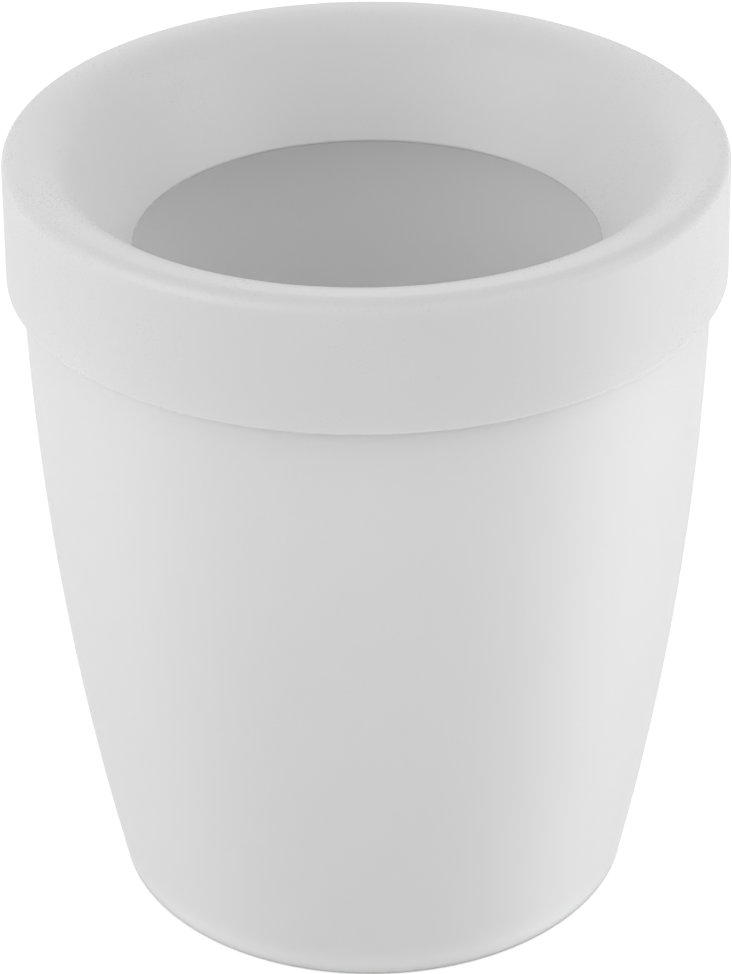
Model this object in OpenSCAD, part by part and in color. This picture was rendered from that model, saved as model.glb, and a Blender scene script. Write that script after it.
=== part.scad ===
// Round office wastebasket with a lift-off funnel ring, both moulded in light plastic.
// Millimetres, +Z up. The origin is the centre of the base, on the floor.

/* [Whole object] */
// Overall height with the ring seated on the basket
total_h = 322; // [300:1:340]

/* [Basket] */
// Outer diameter of the wall at the top of its foot rounding
base_d = 212; // [190:1:230]
// Outer diameter of the wall where it stands plumb, below the rim
rim_d = 269.5; // [256:0.5:270]
// Depth of the basket's rim below the top of the ring
rim_drop = 9; // [8:0.5:12]
// Depth below the rim at which the bellied wall becomes plumb
plumb_drop = 32; // [20:1:60]
// Thickness of the wall
wall_t = 2.2; // [1.8:0.1:2.8]
// Radius of the bead along the rim
bead_r = 1.9; // [1.5:0.1:2.4]
// Thickness of the floor
floor_t = 2.6; // [2:0.1:4]
// Height of the floor's underside above the ground
foot_h = 4; // [3:0.5:8]
// Width of the flat ring that the basket stands on
foot_w = 3.5; // [2:0.5:8]
// Outer rounding where the wall meets the ground
foot_r = 2; // [1:0.5:3]
// Inner rounding between the wall and the floor
corner_r = 9; // [4:1:16]
// Diameter of the moulding gate's boss under the floor
gate_d = 9; // [6:1:14]

/* [Funnel ring] */
// Outer diameter of the ring at its top edge
ring_d = 280; // [278:1:300]
// Height of the skirt, from the top of the ring to its lower edge
skirt_h = 52.5; // [36:0.5:70]
// How much the skirt widens towards its lower edge, on the radius
skirt_flare = 0.8; // [0.2:0.1:2]
// Radius of the ring's outer top edge
edge_r = 5.8; // [4:0.2:9]
// Width of the level crest between the outer edge and the brim's curve
crest_w = 1; // [0.5:0.5:4]
// Radius of the curve that rolls the brim over into the funnel
brim_r = 23; // [14:1:28]
// Diameter of the opening at the bottom of the funnel
opening_d = 183.5; // [160:0.5:192]
// Depth of the opening below the top of the ring
opening_drop = 42.5; // [34:0.5:50]
// Thickness of the ring's shell
ring_t = 2.2; // [1.8:0.1:2.8]

/* [Seat] */
// Number of ribs under the brim that stand on the basket's rim
rib_count = 8; // [4:1:16]
// Thickness of a rib
rib_t = 1.8; // [1.2:0.1:3]
// Clearance between the ribs and the rim when the ring is seated
seat_gap = 0.3; // [0.2:0.1:1]
// Clearance between the ribs and the inside of the rim's bead
side_gap = 0.8; // [0.4:0.1:1.5]
// Length by which the ribs hang down inside the rim
rib_hang = 7; // [4:0.5:12]
// Width of the part of a rib that hangs inside the rim
rib_w = 3.6; // [2.5:0.1:5]

/* [Hidden] */

round_fn = 240;
plastic = [0.93, 0.93, 0.94];

// Points along an arc about a centre, from one angle to another, in equal steps
function arc(centre, r, from, to, steps) = [
    for (i = [0 : steps])
        let (a = from + (to - from) * i / steps)
            centre + r * [cos(a), sin(a)]
];

// Basket wall: one long arc, plumb at its top, that passes through the base diameter
rim_r = rim_d / 2;
base_r = base_d / 2;
rim_z = total_h - rim_drop;
plumb_z = rim_z - plumb_drop;
belly_h = plumb_z - foot_r;
belly_dr = rim_r - base_r;
belly_r = (belly_h * belly_h + belly_dr * belly_dr) / (2 * belly_dr);
belly_centre = [rim_r - belly_r, plumb_z];
inner_r = belly_r - wall_t;

// Angle below level, seen from the belly's centre, of a point at height z and distance r
function drop_angle(r, z) = asin((plumb_z - z) / r);
// Centre of a circle that touches the belly's arc of radius r from inside, at height z
function touch_centre(r, z) = belly_centre + r * [cos(drop_angle(r, z)), -sin(drop_angle(r, z))];

foot_angle = drop_angle(belly_r - foot_r, foot_r);
foot_centre = touch_centre(belly_r - foot_r, foot_r);
foot_inner_r = foot_centre[0] - foot_w;
gate_h = 0.8;

floor_z = foot_h + floor_t;
corner_angle = drop_angle(inner_r - corner_r, floor_z + corner_r);
corner_centre = touch_centre(inner_r - corner_r, floor_z + corner_r);

// The bead is a circle on the middle of the wall, and meets the wall's faces at this angle
bead_centre = [rim_r - wall_t / 2, rim_z - bead_r];
bead_angle = acos(wall_t / 2 / bead_r);

// Funnel ring: heights in its section are measured down from its top
ring_r = ring_d / 2;
skirt_r = ring_r + skirt_flare;
edge_centre = [ring_r - edge_r, -edge_r];
brim_centre = [edge_centre[0] - crest_w, -brim_r];
opening_point = [opening_d / 2, -opening_drop];

// Slope of the funnel: the line from the opening's edge that touches the brim's curve
to_brim = brim_centre - opening_point;
funnel_angle = atan2(to_brim[1], to_brim[0]) + asin(brim_r / norm(to_brim));
lip_centre = opening_point + ring_t / 2 * [sin(funnel_angle), -cos(funnel_angle)];

// Ribs: their lower edges follow the rim of the basket
rib_outer_r = bead_centre[0] - bead_r - side_gap;
rib_inner_r = rib_outer_r - rib_w;
rib_seat_z = seat_gap - rim_drop;
rib_low_z = -rim_drop - rib_hang;

// Half section of the basket, to the right of its axis
module basket_section() {
    polygon(concat(
        // Under the floor, from the gate's boss to the foot ring
        [[0, foot_h - gate_h], [gate_d / 2, foot_h - gate_h], [gate_d / 2, foot_h]],
        [[foot_inner_r, foot_h], [foot_inner_r, 0]],
        // Up the outside: foot rounding, belly, plumb wall and bead
        arc(foot_centre, foot_r, -90, -foot_angle, 6),
        arc(belly_centre, belly_r, -foot_angle, 0, 16),
        arc(bead_centre, bead_r, -bead_angle, 180 + bead_angle, 16),
        // Down the inside: plumb wall, belly, and the fillet into the floor
        arc(belly_centre, inner_r, 0, -corner_angle, 16),
        arc(corner_centre, corner_r, -corner_angle, -90, 8),
        [[0, floor_z]]
    ));
}

// Tapered basket: belly, foot ring, floor and beaded rim in one moulding
module basket() {
    color(plastic)
        rotate_extrude($fn = round_fn)
            basket_section();
}

// Half section of the ring's shell, with its top at height 0
module ring_section() {
    polygon(concat(
        // Rounded lip of the opening, from the underside to the upper face
        arc(lip_centre, ring_t / 2, funnel_angle + 270, funnel_angle + 90, 8),
        // Over the top: funnel, brim and rounded outer edge
        arc(brim_centre, brim_r, 90 + funnel_angle, 90, 12),
        arc(edge_centre, edge_r, 90, 0, 10),
        // Lower edge of the skirt
        [[skirt_r, -skirt_h], [skirt_r - ring_t, -skirt_h]],
        // Back along the underside
        arc(edge_centre, edge_r - ring_t, 0, 90, 10),
        arc(brim_centre, brim_r - ring_t, 90, 90 + funnel_angle, 12)
    ));
}

// Outline of a rib under the brim, stepped where it stands on the basket's rim
module rib_section() {
    root_r = edge_r - ring_t / 2;
    polygon(concat(
        [[rib_inner_r, rib_low_z], [rib_outer_r, rib_low_z], [rib_outer_r, rib_seat_z]],
        [edge_centre + [root_r, edge_r + rib_seat_z]],
        arc(edge_centre, root_r, 0, 90, 4),
        [[rib_inner_r, -ring_t / 2]]
    ));
}

// Funnel ring: skirt, brim, funnel and seating ribs in one moulding
module funnel_ring() {
    color(plastic)
        translate([0, 0, total_h]) {
            rotate_extrude($fn = round_fn)
                ring_section();
            for (i = [0 : rib_count - 1])
                rotate([0, 0, (i + 0.5) * 360 / rib_count])
                    translate([0, rib_t / 2, 0])
                        rotate([90, 0, 0])
                            linear_extrude(rib_t)
                                rib_section();
        }
}

basket();
funnel_ring();
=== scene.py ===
"""Looks of a round wastebasket with a lift-off funnel ring.

Two plastic mouldings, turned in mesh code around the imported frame, on a white floor in soft studio light.
"""

import math

import bmesh
import bpy
from mathutils import Matrix, Vector


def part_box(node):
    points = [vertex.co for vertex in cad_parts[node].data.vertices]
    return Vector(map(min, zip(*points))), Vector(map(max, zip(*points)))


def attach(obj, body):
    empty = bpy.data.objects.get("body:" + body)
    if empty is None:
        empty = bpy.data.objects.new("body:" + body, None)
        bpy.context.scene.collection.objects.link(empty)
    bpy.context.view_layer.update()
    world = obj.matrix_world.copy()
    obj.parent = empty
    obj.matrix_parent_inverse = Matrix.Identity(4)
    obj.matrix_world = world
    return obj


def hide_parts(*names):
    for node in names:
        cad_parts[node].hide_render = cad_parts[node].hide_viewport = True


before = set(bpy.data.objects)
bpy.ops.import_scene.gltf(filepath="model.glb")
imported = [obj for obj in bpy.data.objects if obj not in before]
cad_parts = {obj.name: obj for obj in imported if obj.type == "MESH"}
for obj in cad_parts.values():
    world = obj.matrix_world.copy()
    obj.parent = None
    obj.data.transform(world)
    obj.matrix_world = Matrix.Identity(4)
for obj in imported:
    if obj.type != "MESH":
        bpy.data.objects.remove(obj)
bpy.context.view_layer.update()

MM = 0.001

# ---------------------------------------------------------------- sizes, in metres

# Where the frame puts the two mouldings
basket_low, basket_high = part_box("basket")
ring_low, ring_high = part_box("funnel_ring")
TOP_Z = ring_high.z
RIM_Z = basket_high.z
SKIRT_LOW_Z = ring_low.z
SKIRT_R = max(ring_high.x, -ring_low.x)
BEAD_OUTER_R = max(basket_high.x, -basket_low.x)

# Basket
WALL_T = 2.2 * MM
BEAD_R = 1.9 * MM
RIM_R = BEAD_OUTER_R - BEAD_R + WALL_T / 2
BASE_R = 106 * MM
PLUMB_DROP = 32 * MM
PLUMB_Z = RIM_Z - PLUMB_DROP
FOOT_R = 2 * MM
FOOT_W = 3.5 * MM
FOOT_H = 4 * MM
HEEL_R = 0.8 * MM
FLOOR_T = 2.6 * MM
FLOOR_Z = FOOT_H + FLOOR_T
CORNER_R = 9 * MM
GATE_R = 4.5 * MM
GATE_H = 0.8 * MM

# Funnel ring: its section is measured down from its top
RING_T = 2.2 * MM
SKIRT_FLARE = 0.8 * MM
RING_R = SKIRT_R - SKIRT_FLARE
EDGE_R = 5.8 * MM
CREST_W = 1 * MM
BRIM_R = 23 * MM
OPENING_R = 91.75 * MM
OPENING_DROP = 42.5 * MM
HEM_R = 0.6 * MM

# Ribs under the brim
RIB_COUNT = 8
RIB_T = 1.8 * MM
RIB_W = 3.6 * MM
RIB_HANG = 7 * MM
RIB_TOE_R = 0.5 * MM
SEAT_GAP = 0.3 * MM
SIDE_GAP = 0.8 * MM

# Meshes: steps in a full turn, what counts as a point on the axis, and where shading breaks into a crease
TURN_STEPS = 320
ON_AXIS = 1e-7
CREASE_DEGREES = 35


# ---------------------------------------------------------------- outlines

def arc(centre, radius, start, end, steps):
    """Points along an arc, from one angle in degrees to another, in equal steps."""
    angles = [math.radians(start + (end - start) * i / steps) for i in range(steps + 1)]
    return [(centre[0] + radius * math.cos(a), centre[1] + radius * math.sin(a)) for a in angles]


def line(start, end, steps):
    """Points along a straight line, without its two ends."""
    return [
        (start[0] + (end[0] - start[0]) * i / steps, start[1] + (end[1] - start[1]) * i / steps)
        for i in range(1, steps)
    ]


def basket_outline():
    """Half section of the basket, from under its floor up the outside and down the inside, axis to axis."""
    belly_h = PLUMB_Z - FOOT_R
    belly_dr = RIM_R - BASE_R
    belly_r = (belly_h ** 2 + belly_dr ** 2) / (2 * belly_dr)
    belly = (RIM_R - belly_r, PLUMB_Z)
    inner_r = belly_r - WALL_T

    def drop_angle(radius, z):
        """Angle below level, seen from the belly's centre, of a point at height z."""
        return math.degrees(math.asin((PLUMB_Z - z) / radius))

    def touching(radius, z):
        """The point at height z that is this far from the belly's centre."""
        a = math.radians(drop_angle(radius, z))
        return (belly[0] + radius * math.cos(a), z)

    foot_angle = drop_angle(belly_r - FOOT_R, FOOT_R)
    foot = touching(belly_r - FOOT_R, FOOT_R)
    foot_inner = foot[0] - FOOT_W
    corner_angle = drop_angle(inner_r - CORNER_R, FLOOR_Z + CORNER_R)
    corner = touching(inner_r - CORNER_R, FLOOR_Z + CORNER_R)
    bead = (RIM_R - WALL_T / 2, RIM_Z - BEAD_R)
    bead_angle = math.degrees(math.acos(WALL_T / 2 / BEAD_R))
    gate_edge_r = HEEL_R / 2

    # Under the floor: the gate's boss, the floor, and the inner side of the foot ring
    points = [(0, FOOT_H - GATE_H)]
    points += arc((GATE_R - gate_edge_r, FOOT_H - GATE_H + gate_edge_r), gate_edge_r, -90, 0, 3)
    points += [(GATE_R, FOOT_H)]
    points += line((GATE_R, FOOT_H), (foot_inner, FOOT_H), 12)
    points += arc((foot_inner - HEEL_R, FOOT_H - HEEL_R), HEEL_R, 90, 0, 4)
    points += arc((foot_inner + HEEL_R, HEEL_R), HEEL_R, 180, 270, 4)

    # Up the outside: foot rounding, belly and bead
    points += arc(foot, FOOT_R, -90, -foot_angle, 8)
    points += arc(belly, belly_r, -foot_angle, 0, 60)[1:]
    points += arc(bead, BEAD_R, -bead_angle, 180 + bead_angle, 20)

    # Down the inside: belly, corner and floor
    points += arc(belly, inner_r, 0, -corner_angle, 60)
    points += arc(corner, CORNER_R, -corner_angle, -90, 14)[1:]
    points += line((corner[0], FLOOR_Z), (0, FLOOR_Z), 14)
    points += [(0, FLOOR_Z)]
    return points


def ring_curves():
    """Centres of the ring's edge and brim below its top at height 0, and the funnel's slope in degrees."""
    edge = (RING_R - EDGE_R, -EDGE_R)
    brim = (edge[0] - CREST_W, -BRIM_R)
    reach = Vector((brim[0] - OPENING_R, OPENING_DROP - BRIM_R))
    slope = math.degrees(math.atan2(reach.y, reach.x) + math.asin(BRIM_R / reach.length))
    return edge, brim, slope


def ring_outline():
    """Closed half section of the ring's shell, from the lip over the top to the skirt, and back beneath."""
    edge, brim, slope = ring_curves()
    a = math.radians(slope)
    skirt_h = TOP_Z - SKIRT_LOW_Z
    skirt_slope = math.degrees(math.atan2(SKIRT_FLARE, skirt_h - EDGE_R))
    lip = (OPENING_R + RING_T / 2 * math.sin(a), -OPENING_DROP - RING_T / 2 * math.cos(a))
    hem_out = (SKIRT_R - HEM_R, -skirt_h + HEM_R)
    hem_in = (SKIRT_R - RING_T + HEM_R, -skirt_h + HEM_R)

    lip_arc = arc(lip, RING_T / 2, slope + 270, slope + 90, 12)
    brim_arc = arc(brim, BRIM_R, 90 + slope, 90, 36)
    edge_arc = arc(edge, EDGE_R, 90, skirt_slope, 18)
    hem_arc = arc(hem_out, HEM_R, skirt_slope, -90, 5) + arc(hem_in, HEM_R, -90, -180 + skirt_slope, 5)
    edge_back = arc(edge, EDGE_R - RING_T, skirt_slope, 90, 12)
    brim_back = arc(brim, BRIM_R - RING_T, 90, 90 + slope, 24)

    points = lip_arc + line(lip_arc[-1], brim_arc[0], 8) + brim_arc + edge_arc
    points += line(edge_arc[-1], hem_arc[0], 16) + hem_arc
    points += line(hem_arc[-1], edge_back[0], 16) + edge_back + brim_back
    points += line(brim_back[-1], lip_arc[0], 8)
    return [(r, TOP_Z + z) for r, z in points]


def rib_outline():
    """Outline of one rib, stepped where it stands on the basket's rim, with its root inside the shell."""
    edge, _, _ = ring_curves()
    outer = RIM_R - WALL_T / 2 - BEAD_R - SIDE_GAP
    inner = outer - RIB_W
    low = RIM_Z - RIB_HANG
    seat = RIM_Z + SEAT_GAP
    root = RING_T / 2
    points = arc((inner + RIB_TOE_R, low + RIB_TOE_R), RIB_TOE_R, 180, 270, 3)
    points += arc((outer - RIB_TOE_R, low + RIB_TOE_R), RIB_TOE_R, -90, 0, 3)
    points += [(outer, seat), (edge[0] + EDGE_R - root, seat)]
    points += [(r, TOP_Z + z) for r, z in arc(edge, EDGE_R - root, 0, 90, 6)]
    points += [(inner, TOP_Z - root)]
    return points


# ---------------------------------------------------------------- meshes

# Convex edges of this radius and sharper are rubbed the most
EDGE_WORN_R = 1 * MM


def circle(radius, height, steps):
    """Points around the Z axis at one height, in equal steps."""
    turn = [2 * math.pi * i / steps for i in range(steps)]
    return [(radius * math.cos(a), radius * math.sin(a), height) for a in turn]


def cross(a, b):
    """The cross product of two plane vectors, positive where b is anticlockwise from a."""
    return a.x * b.y - a.y * b.x


def sharpness(outline):
    """How tightly an outline turns outwards at each point: 0 on a flat, 1 on a radius of EDGE_WORN_R."""
    points = [Vector(p) for p in outline]
    following = points[1:] + points[:1]
    outwards = math.copysign(1, sum(cross(p, q) for p, q in zip(points, following)))
    found = []
    for before, here, after in zip(points[-1:] + points[:-1], points, following):
        come, go = here - before, after - here
        turn = outwards * math.atan2(cross(come, go), come.dot(go))
        curvature = 2 * turn / (come.length + go.length)
        found.append(min(1.0, max(0.0, curvature * EDGE_WORN_R)))
    return found


def turned_mesh(name, outline):
    """A closed surface of revolution about Z, with the outline's sharpness as its "edge" values."""
    bm = bmesh.new()
    edge = bm.verts.layers.float.new("edge")
    rings = []
    for (r, z), sharp in zip(outline, sharpness(outline)):
        if r < ON_AXIS:
            rings.append([bm.verts.new((0, 0, z))] * TURN_STEPS)
            continue
        ring = [bm.verts.new(place) for place in circle(r, z, TURN_STEPS)]
        for vert in ring:
            vert[edge] = sharp
        rings.append(ring)

    # An outline that starts on the axis is open there, and any other one closes on itself
    following = rings[1:] if outline[0][0] < ON_AXIS else rings[1:] + rings[:1]
    for low, high in zip(rings, following):
        for i in range(TURN_STEPS):
            j = (i + 1) % TURN_STEPS
            corners = dict.fromkeys([low[i], low[j], high[j], high[i]])
            bm.faces.new(list(corners))
    bmesh.ops.recalc_face_normals(bm, faces=bm.faces)
    return finished_piece(name, bm)


def rib_mesh(name):
    """All the seating ribs as closed solids, evenly spaced, each midway between two of the frame's axes."""
    bm = bmesh.new()
    outline = rib_outline()
    for k in range(RIB_COUNT):
        spin = Matrix.Rotation(2 * math.pi * (k + 0.5) / RIB_COUNT, 3, "Z")
        sides = [
            [bm.verts.new(spin @ Vector((r, side * RIB_T / 2, z))) for r, z in outline]
            for side in (-1, 1)
        ]
        bm.faces.new(sides[0])
        bm.faces.new(reversed(sides[1]))
        for i in range(len(outline)):
            j = (i + 1) % len(outline)
            bm.faces.new([sides[0][j], sides[0][i], sides[1][i], sides[1][j]])
    bmesh.ops.recalc_face_normals(bm, faces=bm.faces)
    return finished_piece(name, bm)


def shade_smoothly(mesh):
    """Smooth shading, creased only where faces meet at more than CREASE_DEGREES."""
    mesh.shade_smooth()
    mesh.set_sharp_from_angle(angle=math.radians(CREASE_DEGREES))


def finished_piece(name, bm):
    """Turns a bmesh into an object in the scene."""
    mesh = bpy.data.meshes.new(name)
    bm.to_mesh(mesh)
    bm.free()
    shade_smoothly(mesh)
    piece = bpy.data.objects.new(name, mesh)
    bpy.context.scene.collection.objects.link(piece)
    return piece


def join_solids(piece, other):
    """Makes one moulding of two overlapping solids, and removes the other object."""
    union = piece.modifiers.new("union", "BOOLEAN")
    union.operation = "UNION"
    union.solver = "EXACT"
    union.object = other
    bpy.context.view_layer.update()
    depsgraph = bpy.context.evaluated_depsgraph_get()
    mesh = bpy.data.meshes.new_from_object(piece.evaluated_get(depsgraph))
    piece.modifiers.clear()
    piece.data = mesh
    mesh.name = piece.name
    shade_smoothly(mesh)
    bpy.data.objects.remove(other)


# ---------------------------------------------------------------- materials

# The range that holds most of a noise's values
NOISE_LOW = 0.3
NOISE_HIGH = 0.7

# How far the plastic's shade and roughness vary: clouding, mould grain, handling marks and rubbed edges
CLOUDING = 0.008
GRAIN = 0.03
SMEARING = 0.015
WORN_PALER = 0.02
WORN_SMOOTHER = 0.08
GRAIN_STRENGTH = 0.25
GRAIN_DEPTH = 0.04 * MM


class Nodes:
    """A short way to fill a node tree. A value that is another node's output becomes a link."""

    def __init__(self, tree):
        self.tree = tree
        self.tree.nodes.clear()

    def add(self, kind, values=None, **settings):
        node = self.tree.nodes.new(kind)
        for key, value in settings.items():
            setattr(node, key, value)
        for key, value in (values or {}).items():
            if isinstance(value, bpy.types.NodeSocket):
                self.tree.links.new(value, node.inputs[key])
            else:
                node.inputs[key].default_value = value
        return node

    def math(self, operation, *values):
        return self.add("ShaderNodeMath", dict(enumerate(values)), operation=operation).outputs["Value"]

    def noise(self, place, scale, detail, roughness):
        """A noise pattern, whose values are mostly between NOISE_LOW and NOISE_HIGH."""
        values = {"Vector": place, "Scale": scale, "Detail": detail, "Roughness": roughness}
        return self.add("ShaderNodeTexNoise", values).outputs["Fac"]

    def mapped(self, value, from_min, from_max, to_min, to_max):
        """A value stretched from one range to another, and kept inside it."""
        ranges = {"From Min": from_min, "From Max": from_max, "To Min": to_min, "To Max": to_max}
        return self.add("ShaderNodeMapRange", {"Value": value, **ranges}).outputs["Result"]

    def varied(self, noise, middle, half):
        """A noise turned into a small variation about a middle value."""
        return self.mapped(noise, NOISE_LOW, NOISE_HIGH, middle - half, middle + half)


def grey(value):
    return (value, value, value, 1.0)


def moulded_plastic(name, shade, roughness, gloss, scatter):
    """Satin plastic, slightly translucent: clouded colour, mould grain, handling marks and worn edges."""
    material = bpy.data.materials.new(name)
    material.use_nodes = True
    n = Nodes(material.node_tree)
    place = n.add("ShaderNodeTexCoord").outputs["Object"]

    # Faint clouding of the colour, and fine grain from the mould
    tone = n.varied(n.noise(place, scale=14.0, detail=3.0, roughness=0.5), shade, CLOUDING)
    grit = n.noise(place, scale=1400.0, detail=2.0, roughness=0.6)
    grain = n.varied(grit, roughness, GRAIN)
    relief = n.add("ShaderNodeBump", {"Height": grit, "Strength": GRAIN_STRENGTH, "Distance": GRAIN_DEPTH})

    # Slow sheen changes where hands and cloths have been
    smear = n.varied(n.noise(place, scale=22.0, detail=5.0, roughness=0.65), 0.0, SMEARING)
    sheen = n.math("ADD", grain, smear)

    # Convex edges are rubbed paler and smoother, in patches
    edge = n.add("ShaderNodeAttribute", attribute_type="GEOMETRY", attribute_name="edge").outputs["Fac"]
    patchy = n.noise(place, scale=90.0, detail=3.0, roughness=0.6)
    patches = n.mapped(patchy, from_min=0.35, from_max=0.65, to_min=0.35, to_max=1.0)
    wear = n.math("MULTIPLY", edge, patches)
    pale = n.math("MULTIPLY_ADD", wear, WORN_PALER, tone)
    rough = n.math("MULTIPLY_ADD", wear, -WORN_SMOOTHER, sheen)

    colour = n.add("ShaderNodeCombineColor", {"Red": pale, "Green": pale, "Blue": pale})
    shader = n.add(
        "ShaderNodeBsdfPrincipled",
        {
            "Base Color": colour.outputs["Color"],
            "Roughness": rough,
            "Specular IOR Level": gloss,
            "Subsurface Weight": 1.0,
            "Subsurface Scale": 1.0,
            "Subsurface Radius": (scatter, scatter, scatter),
            "Normal": relief.outputs["Normal"],
        },
    )
    n.add("ShaderNodeOutputMaterial", {"Surface": shader.outputs["BSDF"]})
    return material


# ---------------------------------------------------------------- the object

BASKET_SHADE = 0.9
RING_SHADE = 0.82

basket = turned_mesh("basket_moulding", basket_outline())
basket.data.materials.append(
    moulded_plastic("basket_plastic", BASKET_SHADE, roughness=0.35, gloss=1.0, scatter=5 * MM)
)
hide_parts("basket")
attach(basket, "basket")

ring = turned_mesh("ring_moulding", ring_outline())
join_solids(ring, rib_mesh("seat_ribs"))
ring.data.materials.append(
    moulded_plastic("ring_plastic", RING_SHADE, roughness=0.3, gloss=0.5, scatter=2 * MM)
)
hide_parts("funnel_ring")
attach(ring, "ring")


# ---------------------------------------------------------------- floor, light and camera

STAGE_R = 60.0
FLOOR_SHADE = 0.8
FLOOR_GLOW = 0.55
CONTACT_R = BASE_R + 1 * MM
CONTACT_DEPTH = 0.2 * MM
CONTACT_SHADE = 0.3
DISC_STEPS = 96

# Studio light: an even dome, and a band all round as degrees up, spread and strength
DOME = 0.165
BAND = (30, 0.3, 0.49)

# Wide soft lights: degrees round from the camera's side to the right, degrees up, focus, strength
SOFT_LIGHTS = [
    (90, -30, 8, 1.75),  # right, from below
    (-90, -30, 8, 0.76),  # left, from below
    (0, -30, 5, 0.5),  # front, from below
    (180, -30, 5, 0.49),  # back, from below
    (180, 30, 5, 0.59),  # back, from above
    (135, -15, 8, 0.44),  # back right
    (-135, -15, 8, 0.44),  # back left
    (75, 30, 12, 1.25),  # right, from above
    (-60, 15, 10, 1.93),  # front left
]


def stage_disc(name, radius, height, colour):
    """A flat matte disc that belongs to the stage, not to the object. Gives the disc and its shader."""
    mesh = bpy.data.meshes.new(name)
    mesh.from_pydata(circle(radius, height, DISC_STEPS), [], [tuple(range(DISC_STEPS))])
    disc = bpy.data.objects.new(name, mesh)
    bpy.context.scene.collection.objects.link(disc)
    material = bpy.data.materials.new(name)
    material.use_nodes = True
    n = Nodes(material.node_tree)
    matte = {"Base Color": colour, "Roughness": 0.9, "Specular IOR Level": 0.0}
    shader = n.add("ShaderNodeBsdfPrincipled", matte)
    n.add("ShaderNodeOutputMaterial", {"Surface": shader.outputs["BSDF"]})
    mesh.materials.append(material)
    return disc, shader


def add_floor():
    """A white floor that the camera sees, while the studio's light still reaches the object from below."""
    floor, shader = stage_disc("floor", STAGE_R, 0.0, grey(FLOOR_SHADE))
    floor.visible_diffuse = False
    floor.visible_glossy = False
    floor.visible_transmission = False
    floor.visible_shadow = False
    shader.inputs["Emission Color"].default_value = grey(1.0)
    shader.inputs["Emission Strength"].default_value = FLOOR_GLOW


def add_contact_shade():
    """A dark disc that the camera doesn't see. It shades the basket's bottom edge, as a floor does."""
    pad, _ = stage_disc("contact_shade", CONTACT_R, -CONTACT_DEPTH, grey(CONTACT_SHADE))
    pad.visible_camera = False


def add_studio():
    """Soft light from all around, on a background that the camera sees as white."""
    world = bpy.data.worlds.new("studio")
    world.use_nodes = True
    n = Nodes(world.node_tree)
    direction = n.add("ShaderNodeTexCoord").outputs["Generated"]
    height = n.add("ShaderNodeSeparateXYZ", {"Vector": direction}).outputs["Z"]

    elevation, spread, strength = BAND
    off = n.math("SUBTRACT", height, math.sin(math.radians(elevation)))
    fall = n.math("MULTIPLY", n.math("POWER", n.math("ABSOLUTE", off), 2.0), -1 / spread ** 2)
    light = n.math("MULTIPLY_ADD", n.math("EXPONENT", fall), strength, DOME)

    for azimuth, elevation, focus, strength in SOFT_LIGHTS:
        a, e = math.radians(azimuth), math.radians(elevation)
        centre = (math.sin(a) * math.cos(e), -math.cos(a) * math.cos(e), math.sin(e))
        facing = n.add("ShaderNodeVectorMath", {0: direction, 1: centre}, operation="DOT_PRODUCT")
        fall = n.math("MULTIPLY_ADD", facing.outputs["Value"], focus, -focus)
        light = n.math("MULTIPLY_ADD", n.math("EXPONENT", fall), strength, light)

    camera_ray = n.add("ShaderNodeLightPath").outputs["Is Camera Ray"]
    seen = n.math("MAXIMUM", light, camera_ray)
    background = n.add("ShaderNodeBackground", {"Color": grey(1.0), "Strength": seen})
    n.add("ShaderNodeOutputWorld", {"Surface": background.outputs["Background"]})
    bpy.context.scene.world = world


def add_camera():
    """Looks down on the object by 30 degrees with a long lens, from about ten ring radii away."""
    camera = bpy.data.cameras.new("camera")
    camera.sensor_width = 36.0
    camera.lens = 131.8
    camera.clip_end = 50.0
    rig = bpy.data.objects.new("camera", camera)
    pitch, swing, roll = math.radians(30.106), math.radians(0.06), math.radians(-0.645)
    turn = (
        Matrix.Rotation(math.pi / 2 - pitch, 3, "X")
        @ Matrix.Rotation(swing, 3, "Y")
        @ Matrix.Rotation(roll, 3, "Z")
    )
    from_top = Vector((0, -8.9416, 4.0741)) * RING_R
    place = Vector((0, 0, TOP_Z)) + from_top
    rig.matrix_world = Matrix.Translation(place) @ turn.to_4x4()
    bpy.context.scene.collection.objects.link(rig)
    bpy.context.scene.camera = rig


add_camera()
add_floor()
add_contact_shade()
add_studio()
bpy.context.scene.view_settings.view_transform = "Standard"
